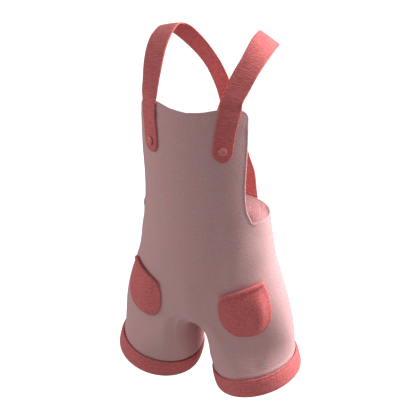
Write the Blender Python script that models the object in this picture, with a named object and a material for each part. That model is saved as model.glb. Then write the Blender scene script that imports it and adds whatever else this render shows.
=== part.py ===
"""Child's short overalls, worn form with no wearer inside.

The bib and the front of the trunk and legs are one panel, the back is another. Two straps are
buttoned to the bib, go over the shoulders, cross and are sewn outside the back waist. Two round
patch pockets have a rolled hem, and each leg ends in a rolled cuff.

Sizes below are in millimetres and the mesh is made in metres. +X is the wearer's left, the front
faces -Y, +Z is up, and the origin lies midway between the shoulders, under the tops of the straps.
"""

import math
from collections import namedtuple

import bmesh
import bpy
import numpy as np
from mathutils import Vector

METRE = 0.001

# Cloth and seams
CLOTH = 2.0
STRAP_CLOTH = 2.2
GAP = 0.3
SAME_POINT = 0.001
SIDE_SEAM_STEP = 0.0015
INSEAM_STEP = 0.0032

# Trunk: elliptical sections, widest at centre_y, front and back halves of unequal depth
Section = namedtuple("Section", "z half_width front_depth back_depth centre_y")
TRUNK = (
    Section(-430, 133.4, 60.5, 67.5, -32.5),
    Section(-415, 131.6, 63.0, 70.0, -33.0),
    Section(-392, 127.2, 65.5, 72.0, -34.0),
    Section(-360, 118.4, 69.0, 73.0, -34.5),
    Section(-336, 110.0, 70.5, 71.5, -33.5),
    Section(-308, 100.8, 70.5, 69.5, -34.0),
    Section(-280, 96.0, 70.0, 66.5, -35.0),
    Section(-239, 90.3, 68.5, 61.5, -36.7),
    Section(-189, 87.4, 68.5, 63.0, -39.0),
    Section(-140, 86.4, 66.5, 63.0, -43.4),
    Section(-115, 85.8, 62.5, 62.0, -46.0),
    Section(-87, 86.2, 56.5, 62.0, -48.0),
    Section(-68, 86.2, 50.5, 62.0, -46.0),
)
WAIST_Z = -239.0

# Bib: its top edge, its side edge, and the corners that round them off
TopPoint = namedtuple("TopPoint", "x z")
BIB_TOP = (TopPoint(0, -84.8), TopPoint(22, -82.6), TopPoint(42, -78.8), TopPoint(61.0, -78.6))
BIB_CORNER_RADIUS = 12.6
BIB_CORNER_TURNS = (45.0, 22.0)
SidePoint = namedtuple("SidePoint", "z x")
BIB_SIDE = (
    SidePoint(-231, 77.4),
    SidePoint(-221, 74.2),
    SidePoint(-208, 72.4),
    SidePoint(-189, 71.6),
    SidePoint(-150, 72.8),
    SidePoint(-115, 73.6),
    SidePoint(-87, 73.4),
)
ARMHOLE_RADIUS = 8.0
ARMHOLE_REACH = 0.068

# Fork: the ring where trunk and legs meet, and the curve under the crotch
FORK_CENTRE_Z = -381.5
FORK_SIDE_Z = -420.0
FORK_SPREAD = 0.52
CROTCH_Z = -417.0
CORNER_REACH = 0.4
CENTRE_SHARE = 0.75
UNDER_REACH = 0.5
FORK_REACH = 1.2

# Legs and cuffs: the ring at the top of the cuff, tilted up on its outer side
LEG_X = 74.2
LEG_Y = -31.2
LEG_Z = -474.0
LEG_HALF_WIDTH = 58.2
LEG_HALF_DEPTH = 65.0
LEG_TILT = math.radians(15.0)
LEG_AXIS = np.array([math.sin(LEG_TILT), 0.0, -math.cos(LEG_TILT)])
INNER_ARC = 50.0
CUFF_HEIGHT = 27.5
CUFF_ROLL = 4.4
LEG_END = 0.93

# Largest folds: soft troughs along lines seen from the front (side -1) or the back (side 1)
Fold = namedtuple("Fold", "side x0 z0 x1 z1 width depth")
FOLDS = (
    Fold(-1, 2, -394, -36, -400, 9.0, 1.3),
    Fold(-1, 20, -398, 46, -404, 10.0, 0.7),
    Fold(-1, 80, -420, 84, -464, 13.0, 2.0),
    Fold(-1, -52, -430, -60, -464, 14.0, 1.4),
    Fold(-1, 84, -262, 58, -274, 13.0, 1.0),
    Fold(-1, -86, -258, -64, -270, 13.0, 0.9),
    Fold(1, 8, -396, 50, -402, 11.0, 1.3),
    Fold(1, -14, -399, -40, -397, 10.0, 1.0),
    Fold(1, 40, -262, 12, -272, 11.0, 1.2),
    Fold(1, -46, -266, -22, -273, 11.0, 1.0),
)
FOLD_MIDDLE_Y = -33.0
FOLD_FADE = 30.0

# Straps: the tab on the bib, the free run over the shoulder, and the end on the back
TabRow = namedtuple("TabRow", "z x half_width")
TAB = (
    TabRow(-144.0, 48.6, 12.5),
    TabRow(-129.0, 48.9, 12.5),
    TabRow(-118.0, 49.7, 12.5),
    TabRow(-102.0, 51.8, 12.8),
    TabRow(-82.0, 54.5, 13.0),
)
BACK_TAB = (
    TabRow(-272.0, -45.8, 14.0),
    TabRow(-258.0, -43.9, 14.6),
    TabRow(-244.0, -41.7, 15.0),
    TabRow(-232.0, -39.7, 15.2),
)
# The two straps lie a little differently: tilt lowers the left one's arm edge and raises the
# right one's, and lean moves the left one outward on the back
StrapRow = namedtuple("StrapRow", "neck_x neck_y neck_z arm_x arm_y arm_z crown tilt lean")
STRAP = (
    StrapRow(42.0, -94.0, -70.5, 69.4, -84.0, -71.5, 1.0, 0.0, 0.0),
    StrapRow(45.0, -82.0, -55.0, 72.8, -74.4, -58.0, 0.8, 0.0, 0.0),
    StrapRow(49.0, -63.2, -36.5, 77.4, -61.0, -42.0, 0.8, 0.5, 0.0),
    StrapRow(52.4, -42.0, -19.0, 82.8, -38.4, -26.6, 0.8, 2.0, 0.0),
    StrapRow(54.4, -16.0, -5.0, 85.2, -11.0, -16.6, 0.8, 4.0, 0.0),
    StrapRow(54.6, 5.0, -1.0, 83.0, 14.5, -14.5, 0.8, 5.0, 0.5),
    StrapRow(48.5, 20.0, -6.0, 72.0, 27.0, -25.0, 0.8, 3.0, 2.0),
    StrapRow(37.5, 29.0, -19.0, 59.4, 33.0, -36.5, 0.6, 1.0, 3.5),
    StrapRow(15.5, 35.5, -49.5, 37.0, 37.5, -61.5, 0.3, 0.0, 4.0),
    StrapRow(-4.0, 37.5, -88.2, 19.0, 38.5, -95.2, 0.0, 0.0, 2.5),
    StrapRow(-19.4, 36.0, -137.2, 5.6, 37.0, -142.8, 0.0, 0.0, 0.5),
    StrapRow(-34.9, 32.5, -184.8, -9.0, 34.6, -189.0, 0.2, 0.0, 0.0),
    StrapRow(-46.6, 28.2, -208.0, -18.9, 32.2, -211.0, 0.6, 0.0, 0.0),
)
TILT_OUT = 0.6
STRAP_COLUMNS = 4
TAB_ROWS = 8
TIP_ROWS = 5
RUN_ROWS = 26
BACK_TAB_ROWS = 4
TIP_RADIUS = 13.5
TIP_START = 12.0
CROSSING_Z = -118.0
CROSSING_HALF = 48.0
CROSSING_FADE = 55.0
CROSSING_LIFT = 3.8

# Buttons on the strap tips
BUTTON_Z = -129.5
BUTTON_RADIUS = 5.75
BUTTON_HEIGHT = 3.2
BUTTON_SIDES = 24
ProfilePoint = namedtuple("ProfilePoint", "radius height")
BUTTON_PROFILE = (
    ProfilePoint(0.0, 0.0),
    ProfilePoint(0.86, 0.0),
    ProfilePoint(1.0, 0.3),
    ProfilePoint(0.9, 0.68),
    ProfilePoint(0.55, 0.95),
    ProfilePoint(0.0, 1.0),
)

# Patch pockets: the two ends of rows from the top edge down, and the roll along the top edge
PocketRow = namedtuple("PocketRow", "inner inner_z outer outer_z")
POCKET = (
    PocketRow(0.262, -347.0, 0.706, -329.0),
    PocketRow(0.244, -356.0, 0.722, -341.0),
    PocketRow(0.236, -368.0, 0.720, -356.0),
    PocketRow(0.241, -381.0, 0.702, -371.5),
    PocketRow(0.264, -392.5, 0.644, -387.0),
    PocketRow(0.305, -401.0, 0.552, -399.0),
    PocketRow(0.352, -405.5, 0.440, -405.5),
)
POCKET_RISE = 2.5
POCKET_BULGE = 4.0
POCKET_ROWS = 10
POCKET_COLUMNS = 9
ROLL_HEIGHT = 6.8
ROLL_DEPTH = 5.4
ROLL_SIDES = 10
ROLL_END = 0.55

# Rows and columns of the panels
BIB_ROWS = 11
ARMHOLE_ROWS = 3
WAIST_ROWS = 4
SEAM_ROWS = 9
BACK_ROWS = 13
LEG_ROWS = 7
QUARTER = 12
BIB_FADE_ROWS = 4
CUFF_SECTION = 10
CUFF_ROUNDNESS = 0.7
INNER_QUARTER = 5
PROBE = 1e-3
SHARP_EDGE = math.radians(50.0)


def spline(at, places, values):
    """Smooth curve through values given at rising places, read at the places 'at'."""
    places = np.asarray(places, float)
    values = np.asarray(values, float)
    at = np.asarray(at, float)
    slopes = np.gradient(values, places, axis=0)
    low = np.clip(np.searchsorted(places, at) - 1, 0, len(places) - 2)
    step = places[low + 1] - places[low]
    part = (at - places[low]) / step
    if values.ndim == 2:
        step = step[..., None]
        part = part[..., None]
    rise = part * part * (3 - 2 * part)
    leave = part * (1 - part) ** 2 * step
    arrive = part * part * (part - 1) * step
    held = values[low] * (1 - rise) + values[low + 1] * rise
    return held + slopes[low] * leave + slopes[low + 1] * arrive


def unit(vectors):
    return vectors / np.linalg.norm(vectors, axis=-1, keepdims=True)


def smooth(part):
    part = np.clip(part, 0.0, 1.0)
    return part * part * (3 - 2 * part)


def section(z):
    """Half width, front depth, back depth and centre of the trunk at height z."""
    heights = [row.z for row in TRUNK]
    return [spline(z, heights, [row[k] for row in TRUNK]) for k in range(1, 5)]


def trunk(around, z):
    """Trunk point: around is 0 at centre front, 1 at the side seam and 2 at centre back."""
    angle = np.asarray(around, float) * math.pi / 2
    z = np.broadcast_to(np.asarray(z, float), angle.shape)
    width, front, back, middle = section(z)
    depth = np.where(np.cos(angle) > 0, front, back)
    return np.stack([width * np.sin(angle), middle - depth * np.cos(angle), z], -1)


def around_at(x, z):
    """Place around the front of the trunk where the cloth is x from the centre."""
    return np.arcsin(np.asarray(x) / section(np.asarray(z, float))[0]) / (math.pi / 2)


def fork_height(around):
    """Height of the fork ring, lower at the sides than at the centre."""
    away = np.clip(1 - np.abs(1 - around), 0.0, 1.0)
    return FORK_CENTRE_Z + (FORK_SIDE_Z - FORK_CENTRE_Z) * smooth(away / FORK_SPREAD)


def fork_ring(around):
    """Fork point: from -1 to 0 and from 2 to 3 it runs under the crotch, between them outside."""
    outside = trunk(np.clip(around, 0, 2), fork_height(around))
    front_y = trunk(0.0, FORK_CENTRE_Z)[1]
    back_y = trunk(2.0, FORK_CENTRE_Z)[1]
    turn = np.where(around < 0, around + 2, around - 2) * math.pi / 2
    y = (front_y + back_y) / 2 + (back_y - front_y) / 2 * np.cos(turn)
    z = FORK_CENTRE_Z + (CROTCH_Z - FORK_CENTRE_Z) * np.sin(turn)
    under = np.stack([np.zeros_like(y), y, z], -1)
    inner = (around < 0) | (around > 2)
    return np.where(inner[..., None], under, outside)


def fork_direction(around):
    """Direction in which the cloth leaves the fork ring: down outside, sideways under the crotch."""
    outer = np.clip(around, 0, 2)
    z = fork_height(around)
    down = unit(trunk(outer, z - 1) - trunk(outer, z))
    sideways = np.array([1.0, 0.0, 0.0])
    away = 1 - np.abs(1 - outer)
    under = np.clip(np.abs(around - 1) - 1, 0, 1)
    share = CENTRE_SHARE * (1 - smooth(away / CORNER_REACH))
    share = (share + (1 - CENTRE_SHARE) * smooth(under / UNDER_REACH))[..., None]
    return unit(down * (1 - share) + sideways * share)


def cuff_ring(around):
    """Point of the leg at the top of the cuff."""
    degrees = np.interp(around, [-1, 0, 1, 2, 3], [-90, -INNER_ARC, 90, 180 + INNER_ARC, 270])
    angle = np.radians(degrees)
    x = LEG_HALF_WIDTH * np.sin(angle)
    y = LEG_Y - LEG_HALF_DEPTH * np.cos(angle)
    return np.stack([LEG_X + x, y, LEG_Z + x * math.tan(LEG_TILT)], -1)


def leg(around, down):
    """Leg point: down is 0 at the fork, 1 at the top of the cuff and 2 at its bottom."""
    around = np.asarray(around, float)
    down = np.broadcast_to(np.asarray(down, float), around.shape)
    start = fork_ring(around)
    end = cuff_ring(around)
    span = np.linalg.norm(end - start, axis=-1, keepdims=True)
    part = np.clip(down, 0, 1)[..., None]
    rise = smooth(part)
    leave = part * (1 - part) ** 2 * span * FORK_REACH * fork_direction(around)
    arrive = part * part * (part - 1) * (end - start)
    below = np.clip(down - 1, 0, None)[..., None] * CUFF_HEIGHT * LEG_AXIS
    return start * (1 - rise) + end * rise + leave + arrive + below


def outward(surface, around, down, falls):
    """Outward direction of a surface; falls is -1 where its second value is a height."""
    lower = surface(around, down + PROBE * falls)
    upper = surface(around, down - PROBE * falls)
    across = surface(around + PROBE, down) - surface(around - PROBE, down)
    return unit(np.cross(lower - upper, across))


def fold_depth(points):
    """Depth of the folds at points on either side of the garment."""
    depth = np.zeros(points.shape[:-1])
    flat = points[..., [0, 2]]
    for fold in FOLDS:
        start = np.array([fold.x0, fold.z0])
        run = np.array([fold.x1, fold.z1]) - start
        along = np.clip((flat - start) @ run / (run @ run), 0, 1)
        away = np.linalg.norm(flat - start - along[..., None] * run, axis=-1)
        facing = smooth((points[..., 1] - FOLD_MIDDLE_Y) * fold.side / FOLD_FADE)
        depth += fold.depth * np.exp(-((away / fold.width) ** 2)) * facing
    return depth


def lifted(surface, around, z, lift):
    """Points moved out from a panel by a lift; the folds are troughs, so they only add room."""
    return surface(around, z) + outward(surface, around, z, -1) * lift


def mirrored(patch):
    """The same patch on the wearer's right."""
    flip = np.array([-1.0, 1.0, 1.0])
    return tuple(grid[:, ::-1] * flip for grid in patch)


def front_ends():
    """Rows of the front panel: height at the centre, then place and height of the outer end."""
    turns = np.radians(BIB_CORNER_TURNS)
    corner_z = BIB_TOP[-1].z - BIB_CORNER_RADIUS
    outer_z = list(corner_z + BIB_CORNER_RADIUS * np.sin(turns))
    outer = list(around_at(BIB_TOP[-1].x + BIB_CORNER_RADIUS * np.cos(turns), np.array(outer_z)))
    side_z = np.linspace(corner_z, BIB_SIDE[0].z, BIB_ROWS - 1)
    side_x = spline(side_z, [row.z for row in BIB_SIDE], [row.x for row in BIB_SIDE])
    outer_z += list(side_z)
    outer += list(around_at(side_x, side_z))
    corner = outer[-1]
    for turn in np.linspace(0, math.pi / 2, ARMHOLE_ROWS + 1)[1:]:
        outer.append(corner + ARMHOLE_REACH * (1 - math.cos(turn)))
        outer_z.append(WAIST_Z + ARMHOLE_RADIUS * (1 - math.sin(turn)))
    seam = 1 - SIDE_SEAM_STEP
    outer += list(np.linspace(outer[-1], seam, WAIST_ROWS + 1)[1:])
    outer_z += [WAIST_Z] * WAIST_ROWS
    outer += [seam] * SEAM_ROWS
    outer_z += list(np.linspace(WAIST_Z, FORK_SIDE_Z, SEAM_ROWS + 1)[1:])
    return np.linspace(BIB_TOP[0].z, FORK_CENTRE_Z, len(outer)), np.array(outer), np.array(outer_z)


def front_trunk():
    """Grid of the bib and the front of the trunk, from the centre to the outer end of each row."""
    centre_z, outer, outer_z = front_ends()
    part = np.linspace(0, 1, QUARTER + 1)
    around = outer[:, None] * part
    z = centre_z[:, None] + (outer_z - centre_z)[:, None] * part**2
    z[-1] = fork_height(around[-1])
    top_x = trunk(around[0], z[0])[:, 0]
    top_x = np.minimum(top_x, BIB_TOP[-1].x)
    top_z = spline(top_x, [row.x for row in BIB_TOP], [row.z for row in BIB_TOP])
    top_z[-1] = outer_z[0]
    fade = np.clip(1 - np.arange(len(outer)) / BIB_FADE_ROWS, 0, 1)
    z += fade[:, None] * (top_z - z[0])
    points = trunk(around, z)
    return points, outward(trunk, around, z, -1)


def back_trunk():
    """Grid of the back of the trunk, from the side seam to the centre."""
    around = np.linspace(1 + SIDE_SEAM_STEP, 2, QUARTER + 1)
    part = np.linspace(0, 1, BACK_ROWS + 1)[:, None]
    z = WAIST_Z + (fork_height(around) - WAIST_Z) * part
    around = np.broadcast_to(around, z.shape)
    return trunk(around, z), outward(trunk, around, z, -1)


def leg_grid(columns):
    """Grid of a leg panel between two seams, without the fork points that the trunk gives."""
    around = np.asarray(columns)[None, :]
    down = np.append(np.linspace(0, 1, LEG_ROWS + 1), 1 + LEG_END)[:, None]
    around, down = np.broadcast_arrays(around, down)
    return leg(around, down), outward(leg, around, down, 1)


def join_fork(trunk_patch, leg_patch, columns):
    """Makes the first row of the leg the last row of the trunk, square to the centre below it."""
    points, directions = leg_patch
    points[0][columns] = trunk_patch[0][-1]
    directions[0][columns] = trunk_patch[1][-1]
    under = np.abs(points[0][:, 0]) < SAME_POINT
    directions[0][under, 0] = 0
    directions[0] = unit(directions[0])
    return points, directions


def folded(patches):
    """Both halves of a panel with its folds."""
    grids = []
    for points, directions in list(patches) + [mirrored(patch) for patch in patches]:
        grids.append((points - directions * fold_depth(points)[..., None], directions))
    return grids


def new_object(name, mesh, colour, roughness):
    """Object made from a bmesh, with its own material."""
    data = bpy.data.meshes.new(name)
    mesh.to_mesh(data)
    mesh.free()
    data.shade_smooth()
    data.set_sharp_from_angle(angle=SHARP_EDGE)
    material = bpy.data.materials.new(name)
    material.use_nodes = True
    shader = material.node_tree.nodes["Principled BSDF"]
    shader.inputs["Base Color"].default_value = (*colour, 1.0)
    shader.inputs["Roughness"].default_value = roughness
    data.materials.append(material)
    part = bpy.data.objects.new(name, data)
    bpy.context.collection.objects.link(part)
    return part


def wall(patches, cloth):
    """Closed solid of a cloth piece from grids of its outer points and outward directions."""
    mesh = bmesh.new()
    corners = {}

    def corner(point, direction):
        key = tuple(np.round(point, 2) + 0.0)
        if key not in corners:
            inner = point - direction * cloth
            corners[key] = mesh.verts.new(point * METRE), mesh.verts.new(inner * METRE)
        return corners[key]

    for points, directions in patches:
        grid = [[corner(p, d) for p, d in zip(*row)] for row in zip(points, directions)]
        for upper, lower in zip(grid, grid[1:]):
            for k in range(len(upper) - 1):
                loop = [upper[k], lower[k], lower[k + 1], upper[k + 1]]
                mesh.faces.new([pair[0] for pair in loop])
                mesh.faces.new([pair[1] for pair in reversed(loop)])
    inner_of = dict(corners.values())
    rims = [edge for edge in mesh.edges if edge.is_boundary and edge.verts[0] in inner_of]
    for loop in [edge.link_loops[0] for edge in rims]:
        near, far = loop.vert, loop.link_loop_next.vert
        mesh.faces.new([far, near, inner_of[near], inner_of[far]])
    return mesh


def tube(rings, closed):
    """Closed solid through rings of points; closed joins the last ring to the first."""
    mesh = bmesh.new()
    made = [[mesh.verts.new(point * METRE) for point in ring] for ring in rings]
    count = len(made[0])
    pairs = zip(made, made[1:] + made[:1]) if closed else zip(made, made[1:])
    for ring, after in pairs:
        for k in range(count):
            mesh.faces.new([ring[k], ring[k - 1], after[k - 1], after[k]])
    if not closed:
        mesh.faces.new(made[0])
        mesh.faces.new(made[-1][::-1])
    return mesh


def columns_between(*stops):
    """Places of the columns round a leg between stops, closer outside than inside."""
    places = [stops[0]]
    for near, far in zip(stops, stops[1:]):
        count = QUARTER if 0 < (near + far) / 2 < 2 else INNER_QUARTER
        places += list(np.linspace(near, far, count + 1)[1:])
    return np.array(places)


def cuff_rings(side):
    """Rolled cuff round the end of a leg; side is 1 for the wearer's left and -1 for the right."""
    rings = []
    for around in columns_between(-1, 0, 1, 2, 3)[:-1]:
        place = np.full(CUFF_SECTION, around)
        turn = np.linspace(0, 2 * math.pi, CUFF_SECTION, endpoint=False)
        across = np.sign(np.sin(turn)) * np.abs(np.sin(turn)) ** CUFF_ROUNDNESS
        along = np.sign(np.cos(turn)) * np.abs(np.cos(turn)) ** CUFF_ROUNDNESS
        lift = GAP + CUFF_ROLL * (1 + across) / 2
        down = 1 + (1 - along) / 2
        direction = outward(leg, place, np.full(CUFF_SECTION, 1.5), 1)
        points = leg(place, down) + direction * lift[:, None]
        rings.append(points * np.array([side, 1, 1]))
    return rings if side < 0 else rings[::-1]


def strap_points(side):
    """Outer face of a strap, tip first, and its outward directions."""
    across = np.linspace(-1, 1, STRAP_COLUMNS + 1)
    lift = GAP + STRAP_CLOTH
    tab_z = [row.z for row in TAB]
    turns = np.radians(np.linspace(TIP_START, 90, TIP_ROWS))
    tip_z = tab_z[0] + TIP_RADIUS * (1 - np.cos(turns))
    z = np.append(tip_z, np.linspace(tip_z[-1], tab_z[-1], TAB_ROWS + 1)[1:])
    x = spline(z, tab_z, [row.x for row in TAB])
    half = spline(z, tab_z, [row.half_width for row in TAB])
    half[:TIP_ROWS] *= np.sin(turns)
    x = x[:, None] + half[:, None] * across
    z = np.broadcast_to(z[:, None], x.shape)
    around = around_at(x, z)
    on_bib = lifted(trunk, around, z, lift)
    back_z = np.linspace(BACK_TAB[-1].z, BACK_TAB[0].z, BACK_TAB_ROWS)
    heights = [row.z for row in BACK_TAB]
    x = spline(back_z, heights, [row.x for row in BACK_TAB])
    half = spline(back_z, heights, [row.half_width for row in BACK_TAB])
    x = x[:, None] + half[:, None] * across
    z = np.broadcast_to(back_z[:, None], x.shape)
    around = 2 - np.arcsin(x / section(z)[0]) / (math.pi / 2)
    on_back = lifted(trunk, around, z, lift)
    table = np.array(STRAP)
    neck = np.concatenate([on_bib[-3:, 0], table[:, 0:3], on_back[:2, 0]])
    arm = np.concatenate([on_bib[-3:, -1], table[:, 3:6], on_back[:2, -1]])
    length = np.append(0, np.cumsum(np.linalg.norm(np.diff((neck + arm) / 2, axis=0), axis=1)))
    at = np.linspace(length[2], length[-2], RUN_ROWS + 2)[1:-1]
    neck = spline(at, length, neck)
    arm = spline(at, length, arm)
    crown = spline(at, length[3:-2], table[:, 6])
    share = (across + 1) / 2
    tilt, lean = spline(at, length[3:-2], table[:, 7:9]).T
    arm[:, 0] -= side * TILT_OUT * tilt
    arm[:, 2] -= side * tilt
    if side > 0:
        neck[:, 0] += lean
        arm[:, 0] += lean
    run = neck[:, None] * (1 - share[:, None]) + arm[:, None] * share[:, None]
    along = np.gradient(run, axis=0)
    out = unit(np.cross(np.broadcast_to((arm - neck)[:, None], run.shape), along))
    run = run + out * (crown[:, None] * (1 - across**2))[..., None]
    points = np.concatenate([on_bib, run, on_back])
    if side < 0:
        away = np.abs(points[..., 2] - CROSSING_Z) - CROSSING_HALF
        behind = points[..., 1] > 0
        points[..., 1] += CROSSING_LIFT * smooth(1 - away / CROSSING_FADE) * behind
    out = unit(np.cross(np.gradient(points, axis=1), np.gradient(points, axis=0)))
    return points, out


def strap_mesh(side):
    points, out = strap_points(side)
    patch = (points[::-1], out[::-1])
    return wall([patch if side > 0 else mirrored(patch)], STRAP_CLOTH)


def button_mesh():
    """Domed button lying on its flat face."""
    mesh = bmesh.new()
    scale = np.array([BUTTON_RADIUS, BUTTON_HEIGHT]) * METRE
    profile = np.array(BUTTON_PROFILE) * scale
    points = [mesh.verts.new((radius, 0, height)) for radius, height in profile]
    edges = [mesh.edges.new(pair) for pair in zip(points, points[1:])]
    bmesh.ops.spin(
        mesh,
        geom=points + edges,
        cent=(0, 0, 0),
        axis=(0, 0, 1),
        angle=math.tau,
        steps=BUTTON_SIDES,
        use_merge=True,
        use_duplicate=False,
    )
    bmesh.ops.remove_doubles(mesh, verts=mesh.verts, dist=SAME_POINT * METRE)
    bmesh.ops.recalc_face_normals(mesh, faces=mesh.faces)
    return mesh


def pocket_points(side):
    """Outer face of a patch pocket and its outward directions."""
    index = np.linspace(0, len(POCKET) - 1, POCKET_ROWS + 1)
    inner, inner_z, outer, outer_z = spline(index, np.arange(len(POCKET)), np.array(POCKET)).T[..., None]
    part = np.linspace(0, 1, POCKET_COLUMNS + 1)
    down = np.linspace(0, 1, POCKET_ROWS + 1)[:, None]
    around = inner + (outer - inner) * part
    hump = 4 * part * (1 - part)
    z = inner_z + (outer_z - inner_z) * part + POCKET_RISE * hump * (1 - down) ** 2
    bulge = POCKET_BULGE * hump * (1 - down**2) * (0.5 + down)
    directions = outward(trunk, around, z, -1)
    points = trunk(around, z) + directions * (GAP + CLOTH + bulge)[..., None]
    flip = np.array([side, 1, 1])
    if side < 0:
        return points[:, ::-1] * flip, directions[:, ::-1] * flip
    return points, directions


def roll_rings(side):
    """Rolled hem along the top edge of a pocket."""
    points, directions = pocket_points(side)
    up = unit(points[0] - points[1])
    centre = points[0] - directions[0] * CLOTH / 2 + up * (GAP + ROLL_HEIGHT / 2)
    centre = centre + directions[0] * (ROLL_DEPTH - CLOTH) / 2
    turn = np.linspace(0, 2 * math.pi, ROLL_SIDES, endpoint=False)[:, None]
    rings = []
    for k, (middle, out, rise) in enumerate(zip(centre, directions[0], up)):
        size = ROLL_END if k in (0, POCKET_COLUMNS) else 1.0
        ring = out * np.cos(turn) * ROLL_DEPTH / 2 + rise * np.sin(turn) * ROLL_HEIGHT / 2
        rings.append(middle + size * ring)
    return rings


def front_patches():
    """Bib, trunk and legs of the front panel, its left half."""
    columns = columns_between(-1 + INSEAM_STEP, 0, 1 - SIDE_SEAM_STEP)
    top = front_trunk()
    return [top, join_fork(top, leg_grid(columns), slice(INNER_QUARTER, None))]


def back_patches():
    """Trunk and legs of the back panel, its left half."""
    columns = columns_between(1 + SIDE_SEAM_STEP, 2, 3 - INSEAM_STEP)
    top = back_trunk()
    return [top, join_fork(top, leg_grid(columns), slice(0, QUARTER + 1))]


def place_button(button, side):
    """Moves a button onto the tip of its strap, square to the cloth."""
    x = spline(BUTTON_Z, [row.z for row in TAB], [row.x for row in TAB])
    around = around_at(x, BUTTON_Z)
    z = np.array(BUTTON_Z)
    flip = np.array([side, 1, 1])
    seat = lifted(trunk, around, z, 2 * GAP + STRAP_CLOTH) * flip
    facing = outward(trunk, around, z, -1) * flip
    button.location = seat * METRE
    button.rotation_mode = "QUATERNION"
    button.rotation_quaternion = Vector((0, 0, 1)).rotation_difference(Vector(facing))


PINK = (0.8, 0.5, 0.51)
CORAL = (0.75, 0.17, 0.18)
CLOTH_ROUGHNESS = 0.85
BUTTON_ROUGHNESS = 0.45

for old in list(bpy.data.objects):
    bpy.data.objects.remove(old)
new_object("front", wall(folded(front_patches()), CLOTH), PINK, CLOTH_ROUGHNESS)
new_object("back", wall(folded(back_patches()), CLOTH), PINK, CLOTH_ROUGHNESS)
for end, side in (("left", 1), ("right", -1)):
    new_object("cuff_" + end, tube(cuff_rings(side), True), CORAL, CLOTH_ROUGHNESS)
    new_object("strap_" + end, strap_mesh(side), CORAL, CLOTH_ROUGHNESS)
    new_object("pocket_" + end, wall([pocket_points(side)], CLOTH), CORAL, CLOTH_ROUGHNESS)
    new_object("pocket_hem_" + end, tube(roll_rings(side), False), CORAL, CLOTH_ROUGHNESS)
    place_button(new_object("button_" + end, button_mesh(), CORAL, BUTTON_ROUGHNESS), side)
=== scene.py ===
"""Looks of the child's short overalls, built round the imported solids.

Each cloth piece is a thin shell on its solid's own form, with finer folds, rounded edges and a
woven material. Sizes are in millimetres, as in the part's source, and meshes are made in metres.
"""

import math
from collections import namedtuple

import bpy
import numpy as np
from mathutils import Matrix, Vector


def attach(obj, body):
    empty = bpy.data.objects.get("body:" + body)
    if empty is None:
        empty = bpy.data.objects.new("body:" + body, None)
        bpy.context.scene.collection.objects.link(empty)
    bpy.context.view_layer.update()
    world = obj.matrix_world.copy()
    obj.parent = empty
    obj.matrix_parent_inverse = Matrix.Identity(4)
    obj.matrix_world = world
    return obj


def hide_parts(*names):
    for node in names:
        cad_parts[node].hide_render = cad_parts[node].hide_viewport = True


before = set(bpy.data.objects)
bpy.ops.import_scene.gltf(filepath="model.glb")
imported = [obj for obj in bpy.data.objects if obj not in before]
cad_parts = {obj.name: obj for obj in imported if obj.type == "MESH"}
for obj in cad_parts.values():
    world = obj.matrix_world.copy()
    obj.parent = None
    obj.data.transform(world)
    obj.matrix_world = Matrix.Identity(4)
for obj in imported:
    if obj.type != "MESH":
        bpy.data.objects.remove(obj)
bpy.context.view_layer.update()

METRE = 0.001

# Cloth and seams
CLOTH = 2.0
STRAP_CLOTH = 2.2
GAP = 0.3
SAME_POINT = 0.001
SIDE_SEAM_STEP = 0.0004
INSEAM_STEP = 0.0008

STRAP_HALF = 13.0
TAB_SQUEEZE = 0.10
TAB_RUN = 40.0
SQUEEZE_FADE = 75.0
BUTTON_SIDES = 64
BUTTON_CENTRE = 0.02
BUTTON_FLATNESS = 0.8
ProfilePoint = namedtuple("ProfilePoint", "radius height")
BUTTON_PROFILE = (
    ProfilePoint(0.0, 0.0),
    ProfilePoint(0.86, 0.0),
    ProfilePoint(1.0, 0.3),
    ProfilePoint(0.93, 0.66),
    ProfilePoint(0.76, 0.70),
    ProfilePoint(0.55, 0.92),
    ProfilePoint(0.0, 1.0),
)

# Colours, linear
PINK = (0.78, 0.385, 0.395, 1.0)
GREY_THREAD = (0.60, 0.54, 0.52, 1.0)
ROW_SHADE = (0.90, 0.90, 0.90, 1.0)
CORAL = (0.74, 0.175, 0.175, 1.0)
# Painted shade: darker coral laid into the valleys of the crepe's crinkles
CORAL_CRINKLE_SHADE = (0.60, 0.120, 0.122, 1.0)
CORAL_LIGHT = (0.82, 0.290, 0.280, 1.0)
BUTTON_CORAL = (0.66, 0.150, 0.148, 1.0)
WHITE = (1.0, 1.0, 1.0, 1.0)
ROW_SCALE = 135.0
ROW_WAVER = 1.2
SHEEN_ROUGHNESS = 0.5
CLOTH_SPECULAR = 0.2

# Camera: the photograph's direction and distance, with the point that it looks at
TARGET = Vector((0.0, -0.0252, -0.252))
VIEW_AZIMUTH = 23.0
VIEW_ELEVATION = 26.0
VIEW_DISTANCE = 1.0976
VIEW_ANGLE = 30.0

# Lights and stage
Light = namedtuple("Light", "name azimuth elevation distance size power colour")
LIGHTS = (
    Light("key", 129.5, 32.0, 1.6, 1.0, 55.0, (1.0, 1.0, 1.0)),
    Light("fill", -66.0, 12.0, 1.6, 1.2, 8.5, (1.0, 1.0, 1.0)),
    Light("floor_bounce", 52.0, -30.0, 0.7, 0.4, 0.42, (1.0, 1.0, 1.0)),
)
INSIDE_AT = Vector((-0.058, -0.045, -0.268))
INSIDE_TOWARD = Vector((0.110, 0.015, -0.262))
INSIDE_SIZE = 0.04
INSIDE_POWER = 0.0085
INSIDE_SPREAD = math.radians(30.0)
WORLD_COLOUR = (1.0, 1.0, 1.0, 1.0)
WORLD_STRENGTH = 0.272
STAGE_RADIUS = 6000.0
STAGE_SIDES = 48
STAGE_RINGS = 25

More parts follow.
